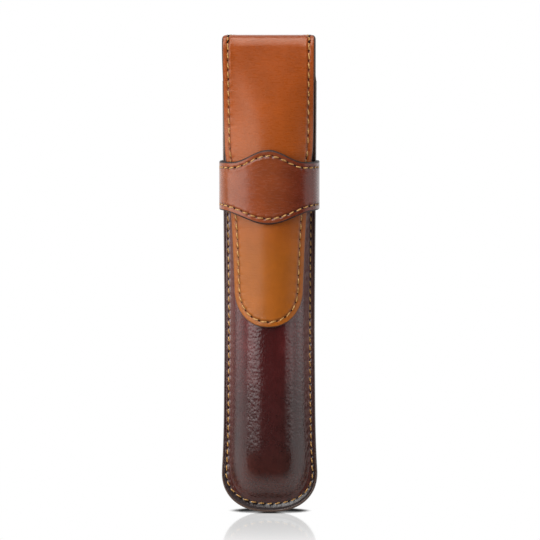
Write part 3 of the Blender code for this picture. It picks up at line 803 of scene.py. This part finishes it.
def from_hide_edge(x, run, foot_trim, tip_trim, side_trim):
    """Distance inside the hide's outline, trimmed at its foot, at the tongue's tip and at its sides."""
    foot = from_pouch_edge(x, BACK_END - run, foot_trim)
    tip = inside(x, run, flap_side, TONGUE_CENTRE, TONGUE_END, TONGUE_ROUNDNESS, tip_trim)
    middle = hide_side(run) - side_trim - np.abs(x)
    return np.where(run < TONGUE_CENTRE, tip, np.where(BACK_END - run < FOOT_HEIGHT, foot, middle))


def hide_inset(x, run):
    """Distance from the hide's edge."""
    return np.maximum(from_hide_edge(x, run, RIM_TRIM, (0, 0), back_trim(run)), 0)


def from_hide_seam(x, run):
    """Distance from the hide's seam, positive on the inside."""
    return from_hide_edge(x, run, (SEAM_INSET, FOOT_INSET), (FLAP_INSET, FLAP_INSET), hide_trim(run))


def bends_between(first, second, start, end):
    """Keep a piece that crosses the joint between two bodies where it is, on neither body."""
    return lambda piece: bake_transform(piece)


def hide_lines():
    """Seams of the hide: name, line, stitch length, how it is carried and the solid thread it stands for."""
    front = bends_between("crown", "flap", *FRONT_TURN)
    behind = bends_between("pouch", "crown", *BACK_TURN)
    above = BACK_END - BAND_SIDE_TOP - SEAM_PITCH / 2
    near, far = FRONT_CREASE - CREASE_GAP, FRONT_CREASE + CREASE_GAP
    before, after = BACK_CREASE - CREASE_GAP, BACK_CREASE + CREASE_GAP
    spans = [("flap", BAND_HIGH.z + FLAP_PITCH / 2, near, FLAP_PITCH, rides("flap"), "flap"),
             ("front_crease", near, far, FLAP_PITCH, front, None),
             ("crown", far, before, FLAP_PITCH, rides("crown"), "crown"),
             ("back_crease", before, after, SEAM_PITCH, behind, None),
             ("back", after, above, SEAM_PITCH, rides("pouch"), "back")]
    lines = []
    for word, start, end, pitch, carry, node in spans:
        runs = np.linspace(start, end, 300)
        for side, hand in ((-1, "left"), (1, "right")):
            line = np.column_stack([side * (hide_side(runs) - hide_trim(runs)), runs])
            lines.append((f"{word}_seam_{hand}", line, pitch, carry, node and f"{node}_thread_{hand}"))
    tongue = tongue_outline(BAND_HIGH.z, (FLAP_INSET, FLAP_INSET), SEAM_STEP)
    lines.append(("tongue_seam", tongue, FLAP_PITCH, rides("flap"), "tongue_thread"))
    foot = pouch_outline(BAND_SIDE_BOTTOM - SEAM_PITCH / 2, (SEAM_INSET, FOOT_INSET), SEAM_STEP)
    foot[:, 1] = BACK_END - foot[:, 1]
    lines.append(("back_seam", foot, SEAM_PITCH, rides("pouch"), "back_seam_thread"))
    return lines


HIDE_LINES = hide_lines()


def hide_relief(x, run):
    """How the stitching pulls the hide in."""
    return pulled([entry[1:3] for entry in HIDE_LINES], x, run, from_hide_seam(x, run))


def hide_marks(x, run):
    """Paint on the hide's edge, and painted shade along its seam."""
    edge = np.maximum(from_hide_edge(x, run, (0, 0), (0, 0), 0), 0)
    seam = near_line(from_hide_seam(x, run) - SEAM_SHADE_INSET, SEAM_SHADE_WIDTH)
    return (HIDE_PAINT - edge) / PAINT_FADE, HIDE_SEAM_SHADE * seam


def two_sided(reach, steps):
    """Shares of a rib with both its ends at an edge."""
    near = edge_shares(reach, steps) / 2
    return np.append(near, 1 - near[-2::-1])


# Vegetable-tanned leather, dyed by hand from tan at the band to near black at the foot: a satin shine, and
# clouds where the dye took unevenly. Its wax warms the highlights.
def hide_leather():
    dyes = [(0.0, "#9A4A15"), (0.12, "#9B4815"), (0.2, "#994616"), (0.26, "#92421A"), (0.33, "#80381E"),
            (0.45, "#642A22"), (0.65, "#481D1C"), (1.0, "#3C1A1B")]
    return leather("patina_dyed_leather", dyes, (HIDE_SPLIT, BACK_END), rim="#3C2C28", seam="#3A1A10",
                   roughness=(0.24, 0.35), shine="#FFF0DF", mottle_mm=9.0, mottle=0.10)


HIDE_LEATHER = hide_leather()


def back_ribs(trim):
    """Ribs of a blank from the middle of the crown down the back to the foot, trimmed at its edge."""
    lower = pouch_outline(MOUTH, (RIM_TRIM[0] + trim, RIM_TRIM[1] + trim))
    lower[:, 1] = BACK_END - lower[:, 1]
    sides = lower[:, 1] < BACK_END - FOOT_HEIGHT
    half = hide_side(lower[sides, 1]) - back_trim(lower[sides, 1]) - trim
    lower[sides, 0] = np.sign(lower[sides, 0]) * half
    runs = np.linspace(CROWN_MIDDLE, BACK_END - MOUTH, 60)[:-1]
    upper = np.column_stack([hide_side(runs) - trim, runs])
    edge = np.vstack([upper, lower, upper[::-1] * (-1, 1)])
    return fan(edge, np.minimum(edge[:, 1], BACK_END - FOOT_HEIGHT))


def hide_back():
    """From the middle of the crown down the back to the foot."""
    shares = edge_shares(MOUTH_HALF, HIDE_STEPS)
    piece = bend_blank("hide_back", hide, back_ribs(0), shares, LEATHER, hide_inset, hide_relief,
                       hide_marks, "fan")
    piece.data.materials.append(HIDE_LEATHER)
    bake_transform(piece)
    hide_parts("back_panel", "crown_leather")


def hide_flap():
    """From the middle of the crown over the front crease, down behind the band."""
    runs = np.linspace(CROWN_MIDDLE, HIDE_SPLIT, round((CROWN_MIDDLE - HIDE_SPLIT) / RIB))
    right = np.column_stack([hide_side(runs), runs])
    shares = two_sided(FLAP_HALF, HIDE_STEPS)
    piece = bend_blank("hide_flap", hide, (right, right * (-1, 1)), shares, LEATHER, hide_inset,
                       hide_relief, hide_marks, "strip")
    piece.data.materials.append(HIDE_LEATHER)
    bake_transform(piece)
    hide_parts("flap_leather", "crown_leather")


# The same leather in a lighter golden dye, kept from wear by the band: an even colour and a softer shine.
def tongue_leather():
    dyes = [(0.0, "#9E5510"), (0.5, "#9A5210"), (1.0, "#984813")]
    return leather("golden_tan_leather", dyes, (TONGUE_TIP, HIDE_SPLIT), rim="#4A2F26", seam="#3A1A10",
                   roughness=(0.28, 0.40), shine="#FFF0DF")


def tongue():
    """The flap's rounded end, which passes under the band."""
    edge = tongue_outline(HIDE_SPLIT, (0, 0))
    piece = bend_blank("tongue", hide, fan(edge, np.maximum(edge[:, 1], TONGUE_CENTRE)),
                       edge_shares(TONGUE_HALF, HIDE_STEPS), LEATHER, hide_inset, hide_relief,
                       hide_marks, "fan")
    piece.data.materials.append(tongue_leather())
    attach(piece, "flap")
    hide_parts("tongue_leather")


hide_back()
hide_flap()
tongue()
for word, line, pitch, carry, node in HIDE_LINES:
    sew(word, hide, line, pitch, carry, node)


# Keeper band. A closed loop of chestnut leather round the pouch, sewn in place. Its front is arched over
# the tongue, and its wavy edges are painted and lined with stitching.
BAND_CLEARANCE = 0.0003
BAND_HUMP_REACH = 0.0130
BAND_FULLNESS = 3.2
BAND_INSET = 0.0020
BAND_PITCH = 0.0029
BAND_PAINT = 0.0006
BAND_SEAM_SHADE = 0.5
BAND_SEWN_SHARE = 1.35
BAND_STEPS = [(0.0005, 0.0001), (0.0036, 0.0002), (0.02, 0.0006)]


def band_front_edges(x):
    """Heights of the band's lower and upper edges across its front."""
    dip = 1 + np.cos(math.pi * x / BAND_HIGH.x)
    hump = 1 + np.cos(math.pi * np.minimum(np.abs(x) / BAND_HUMP_REACH, 1))
    return BAND_SIDE_BOTTOM - BAND_DIP * dip / 2, BAND_SIDE_TOP + BAND_HUMP * hump / 2


def band_loop():
    """Points round the band's outer face from above, from the front middle and back to it."""
    turns = np.linspace(0, math.pi / 2, 160)
    rise = MARGIN_FACE - BAND_LOW.y
    ratio = ((np.abs(np.sin(turns)) / BAND_HIGH.x) ** BAND_FULLNESS
             + (np.abs(np.cos(turns)) / rise) ** BAND_FULLNESS)
    reach = ratio ** (-1 / BAND_FULLNESS)
    arch = np.column_stack([reach * np.sin(turns), MARGIN_FACE - reach * np.cos(turns)])
    radius = BAND_CLEARANCE + BAND_LEATHER
    bends = np.linspace(0, math.pi / 2, 12)
    corner = np.column_stack([BAND_HIGH.x - radius + radius * np.cos(bends),
                              BAND_HIGH.y - radius + radius * np.sin(bends)])
    right = np.vstack([arch, corner, [[0, BAND_HIGH.y]]])
    return np.vstack([right, right[-2::-1] * (-1, 1)])


BAND_LOOP = band_loop()
BAND_RUNS = along(BAND_LOOP)


def band(run, height):
    """Outer face of the band at a run from its front middle."""
    run = np.mod(run, BAND_RUNS[-1])
    x = np.interp(run, BAND_RUNS, BAND_LOOP[:, 0])
    y = np.interp(run, BAND_RUNS, BAND_LOOP[:, 1])
    return np.stack(np.broadcast_arrays(x, y, height), -1)


def band_edges(run):
    """Heights of the band's lower and upper edges."""
    point = band(run, 0)
    front = point[..., 1] <= MARGIN_FACE
    low, high = band_front_edges(point[..., 0])
    return np.where(front, low, BAND_SIDE_BOTTOM), np.where(front, high, BAND_SIDE_TOP)


# Chestnut leather, dyed through and rubbed with wax: a satin shine, with near black paint on its edges.
# Painted shade makes it redder and darker to the right.
def band_leather():
    dyes = [(0.0, "#8E4A26"), (0.3, "#8A401C"), (0.55, "#783615"), (0.8, "#662916"), (1.0, "#66291E")]
    return leather("chestnut_band_leather", dyes, (-BAND_HIGH.x, BAND_HIGH.x), rim="#281C1A",
                   seam="#33170F", coords="object", axis="X", mottle_mm=6.0, mottle=0.14)


def keeper_band():
    runs = np.linspace(0, BAND_RUNS[-1], 320)
    low, high = band_edges(runs)
    ribs = (np.column_stack([runs, low]), np.column_stack([runs, high]))
    reach = BAND_HIGH.x * BAND_SEWN_SHARE
    sewn = np.linspace(-reach, reach, 700)
    lower, upper = band_edges(sewn)
    lines = [np.column_stack([sewn, lower + BAND_INSET]), np.column_stack([sewn, upper - BAND_INSET])]

    def inset(run, height):
        low, high = band_edges(run)
        return np.maximum(np.minimum(height - low, high - height), 0)

    def relief(run, height):
        turned = np.mod(run + BAND_RUNS[-1] / 2, BAND_RUNS[-1]) - BAND_RUNS[-1] / 2
        seams = [(line, BAND_PITCH) for line in lines]
        pull = pulled(seams, turned, height, inset(run, height) - BAND_INSET)
        return np.where(np.abs(turned) < reach, pull, 0)

    def marks(run, height):
        edge = inset(run, height)
        # Painted shade along the seams' grooves.
        seam = near_line(edge - BAND_INSET - SEAM_SHADE_INSET, SEAM_SHADE_WIDTH)
        return (BAND_PAINT - edge) / PAINT_FADE, BAND_SEAM_SHADE * seam

    piece = bend_blank("keeper_band_leather", band, ribs,
                       two_sided((BAND_HIGH.z - BAND_LOW.z) / 2, BAND_STEPS), BAND_LEATHER, inset, relief,
                       marks, "loop")
    piece.data.materials.append(band_leather())
    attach(piece, "pouch")
    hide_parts("keeper_band")
    for word, line in zip(("lower", "upper"), lines):
        sew("band_seam_" + word, band, line, BAND_PITCH, rides("pouch"), "band_thread_" + word)


keeper_band()


# Linings. Thin napped leather, glued to the inner face of the hide and bent with it over both creases. The
# front's lining and the band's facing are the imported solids, in the same leather.
LINING = 0.0004
LINING_TRIM = 0.0003
GLUED = 0.00005
# Split leather with its nap raised: matt and soft, with flecks where the fibres lie another way.
SUEDE = flecked("napped_lining_leather", 0.8, [(0.3, "#4E3322"), (0.5, "#694730"), (0.7, "#7E5A40")],
                {"Roughness": 0.92, "Sheen Weight": 0.3}, detail=8, fleck_roughness=0.7,
                relief=(0.0001, 0.5))
LINING_STEPS = [(0.0004, 0.0001), (0.02, 0.0008)]


def hide_inside(x, run):
    """Inner face of the hide, on which the lining is glued."""
    return hide(x, run) - normals(hide, x, run) * (LEATHER - GLUED)


def line_hide(name, ribs, bend, *nodes):
    """Glue a lining blank into the hide, shaped over its creases."""
    piece = bend_blank(name, hide_inside, ribs, edge_shares(MOUTH_HALF, LINING_STEPS), LINING,
                       lambda x, run: np.maximum(hide_inset(x, run) - LINING_TRIM, 0),
                       lambda x, run: 0, lambda x, run: (), "fan")
    piece.data.materials.append(SUEDE)
    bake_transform(piece)
    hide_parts(*nodes)


def flap_ribs(trim):
    """Ribs of a blank from the middle of the crown to the tongue's tip, trimmed at its edge."""
    runs = np.linspace(CROWN_MIDDLE, HIDE_SPLIT, 160)[:-1]
    upper = np.column_stack([hide_side(runs) - trim, runs])
    edge = np.vstack([upper, tongue_outline(HIDE_SPLIT, (trim, trim)), upper[::-1] * (-1, 1)])
    return fan(edge, np.maximum(edge[:, 1], TONGUE_CENTRE))


line_hide("back_and_crown_lining", back_ribs(LINING_TRIM), ("pouch", "crown", *BACK_TURN),
          "back_lining", "crown_lining")
line_hide("flap_and_tongue_lining", flap_ribs(LINING_TRIM), ("crown", "flap", *FRONT_TURN),
          "crown_lining", "flap_lining", "tongue_lining")
for node in ("front_lining", "keeper_facing"):
    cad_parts[node].data.materials.clear()
    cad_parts[node].data.materials.append(SUEDE)


# Stage. A polished white board under the sleeve, white paper behind it, and a dim room round them. They
# are white to the camera and give the object little light. The paper is white in reflections too.
# Where the floor's painted contact shadow lies, and where its white fades in round it.
SHADOW_SQUEEZE = (1, 1.5, 1)
SHADOW_SHIFT = (0, -0.0185, 0)
FLOOR_GREY = 0.7
BACKDROP_LIGHT = 0.3
WORLD_LIGHT = 0.07
STAGE_HALF = 6.0
STAGE_NEAR = -3.0
STAGE_FAR = 1.7
STAGE_TALL = 3.0


def sheet_of(name, corners):
    """A flat sheet of the stage."""
    mesh = bpy.data.meshes.new(name)
    mesh.from_pydata(corners, [], [(0, 1, 2, 3)])
    add_piece(name, mesh)
    return mesh


# Lacquered white board: white to the camera, with a painted contact shadow under the foot and a faint
# mirror image in front of it. Leather mirrors a dark card in front, as on a photographer's table.
def polished_floor(mesh):
    material, tree, shader = new_tree("polished_white_floor")
    tree.nodes.remove(shader)
    place = add_node(tree, "ShaderNodeTexCoord").outputs["Object"]
    squeezed = add_node(tree, "ShaderNodeVectorMath", {0: place, 1: SHADOW_SQUEEZE, 2: SHADOW_SHIFT},
                        operation="MULTIPLY_ADD")
    away = add_node(tree, "ShaderNodeVectorMath", {0: squeezed.outputs["Vector"]},
                    operation="LENGTH").outputs["Value"]
    reach = add_node(tree, "ShaderNodeVectorMath", {0: place}, operation="LENGTH").outputs["Value"]
    parted = add_node(tree, "ShaderNodeSeparateXYZ", {"Vector": place})
    path = add_node(tree, "ShaderNodeLightPath").outputs
    levels = {}
    for word, value, start, end, low, high, kind in (
            ("bright", away, 0.0118, 0.0150, 0.0, 1.0, "SMOOTHSTEP"),
            ("mirror", reach, 0.02, 0.13, 0.72, 0.0, "SMOOTHSTEP"),
            ("painted_contact_shadow", away, 0.0100, 0.0132, 0.65, 0.0, "SMOOTHSTEP"),
            ("in_front", parted.outputs["Y"], 0.006, 0.012, 1.0, 0.0, "LINEAR"),
            ("behind", parted.outputs["Y"], 0.25, 0.65, 0.0, 1.0, "LINEAR"),
            ("ahead", parted.outputs["Y"], -0.012, 0.0, 0.65, 0.0, "LINEAR")):
        levels[word] = add_node(tree, "ShaderNodeMapRange", {"Value": value, "From Min": start,
                                                             "From Max": end, "To Min": low,
                                                             "To Max": high},
                                interpolation_type=kind).outputs["Result"]
    grazing = add_node(tree, "ShaderNodeFresnel", {"IOR": 1.5}).outputs["Fac"]
    camera, mirrored = path["Is Camera Ray"], path["Is Glossy Ray"]
    sums = {}
    for word, values in (("seen", (levels["bright"], camera)), ("far", (levels["behind"], mirrored)),
                         ("front", (levels["in_front"], camera)), ("level", (levels["mirror"], grazing)),
                         ("shadow", (levels["painted_contact_shadow"], camera)), ("card", (levels["ahead"], mirrored))):
        sums[word] = add_node(tree, "ShaderNodeMath", dict(enumerate(values)),
                              operation="MULTIPLY").outputs[0]
    shown = add_node(tree, "ShaderNodeMath", {0: sums["level"], 1: sums["front"]}, operation="MULTIPLY")
    white_share = add_node(tree, "ShaderNodeMath", {0: sums["far"], 1: sums["seen"]}, operation="ADD")
    dark = add_node(tree, "ShaderNodeMath", {0: sums["shadow"], 1: sums["card"]}, operation="ADD")
    # The matt grey is darkened by the painted contact shadow and, in reflections, by the dark card.
    shade = add_node(tree, "ShaderNodeMath", {0: FLOOR_GREY, 1: dark.outputs[0]}, operation="SUBTRACT")
    matt = add_node(tree, "ShaderNodeBsdfDiffuse", {"Color": shade.outputs[0]})
    white = add_node(tree, "ShaderNodeEmission", {"Color": (1, 1, 1, 1), "Strength": 1.0})
    gloss = add_node(tree, "ShaderNodeBsdfGlossy", {"Color": (1, 1, 1, 1), "Roughness": 0.06})
    lit = add_node(tree, "ShaderNodeMixShader", {"Fac": white_share.outputs[0], 1: matt.outputs[0],
                                                 2: white.outputs[0]})
    whole = add_node(tree, "ShaderNodeMixShader", {"Fac": shown.outputs[0], 1: lit.outputs[0],
                                                   2: gloss.outputs[0]})
    tree.links.new(whole.outputs[0], tree.nodes["Material Output"].inputs["Surface"])
    mesh.materials.append(material)


# White paper, lit evenly.
def white_backdrop(mesh):
    material, tree, shader = new_tree("white_backdrop_paper")
    tree.nodes.remove(shader)
    path = add_node(tree, "ShaderNodeLightPath").outputs
    seen = add_node(tree, "ShaderNodeMath", {0: path["Is Camera Ray"], 1: path["Is Glossy Ray"]},
                    operation="MAXIMUM")
    level = add_node(tree, "ShaderNodeMapRange", {"Value": seen.outputs[0], "To Min": BACKDROP_LIGHT,
                                                  "To Max": 1.0})
    paper = add_node(tree, "ShaderNodeEmission", {"Color": (1, 1, 1, 1),
                                                  "Strength": level.outputs["Result"]})
    tree.links.new(paper.outputs[0], tree.nodes["Material Output"].inputs["Surface"])
    mesh.materials.append(material)


def stage():
    low = cad_low.z
    polished_floor(sheet_of("floor", [(-STAGE_HALF, STAGE_NEAR, low), (STAGE_HALF, STAGE_NEAR, low),
                                      (STAGE_HALF, STAGE_FAR, low), (-STAGE_HALF, STAGE_FAR, low)]))
    white_backdrop(sheet_of("backdrop", [(-STAGE_HALF, STAGE_FAR, low), (STAGE_HALF, STAGE_FAR, low),
                                         (STAGE_HALF, STAGE_FAR, STAGE_TALL),
                                         (-STAGE_HALF, STAGE_FAR, STAGE_TALL)]))
    world = bpy.data.worlds.new("dim_studio")
    bpy.context.scene.world = world
    world.use_nodes = True
    tree = world.node_tree
    camera = add_node(tree, "ShaderNodeLightPath").outputs["Is Camera Ray"]
    level = add_node(tree, "ShaderNodeMapRange", {"Value": camera, "To Min": WORLD_LIGHT, "To Max": 1.0})
    background = tree.nodes["Background"]
    background.inputs["Color"].default_value = (1, 1, 1, 1)
    tree.links.new(level.outputs["Result"], background.inputs["Strength"])


stage()


# Lamps. A strip above, a large softbox on the left and a weaker one on the right: the first brightens the
# crown, and the other two draw the long highlights on the bulge.
def towards(turn, rise):
    """Direction from the object at an azimuth and an elevation. Azimuth 0 is the front and 90 the right."""
    return Vector((math.sin(turn) * math.cos(rise), -math.cos(turn) * math.cos(rise), math.sin(rise)))


def point(thing, place, target):
    """Put a lamp or camera at a place and turn it to a point."""
    thing.location = place
    thing.rotation_euler = (Vector(target) - Vector(place)).to_track_quat("-Z", "Y").to_euler()


def softbox(name, azimuth, elevation, distance, size, power):
    """A soft rectangular lamp, turned to the middle of the object."""
    data = bpy.data.lights.new(name, "AREA")
    data.shape = "RECTANGLE"
    data.size, data.size_y = size
    data.energy = power
    light = add_piece(name, data)
    light.visible_camera = False
    middle = Vector((0, 0, CROWN_TOP / 2))
    away = towards(math.radians(azimuth), math.radians(elevation))
    point(light, middle + away * distance, middle)


softbox("top_softbox", -12, 58, 1.0, (0.32, 1.8), 9.6)
softbox("left_softbox", -53, 3, 0.6, (0.88, 0.8), 6.2)
softbox("right_softbox", 82, 3, 0.6, (0.49, 0.8), 1.35)


# Camera. It looks slightly down on the sleeve, from slightly right of its front, as in the photograph. It is
# framed by that picture's scale, base line and middle column, which are in its pixels.
FRAME_PIXELS = 540
PIXEL = 0.0003455
BASE_LINE = 516.0
MIDDLE_COLUMN = 269.0
CAMERA_DISTANCE = 1.5
CAMERA_RISE = math.radians(3.5)
CAMERA_TURN = math.radians(1.5)
SENSOR = 36.0


def shoot():
    data = bpy.data.cameras.new("photo_camera")
    data.sensor_width = SENSOR
    data.lens = SENSOR * CAMERA_DISTANCE / (FRAME_PIXELS * PIXEL)
    data.clip_end = 20
    camera = add_piece("photo_camera", data)
    centre = FRAME_PIXELS / 2
    target = ((centre - MIDDLE_COLUMN) * PIXEL, 0, (BASE_LINE - centre) * PIXEL)
    point(camera, Vector(target) + towards(CAMERA_TURN, CAMERA_RISE) * CAMERA_DISTANCE, target)
    bpy.context.scene.camera = camera
    bpy.context.scene.view_settings.view_transform = "Standard"


shoot()
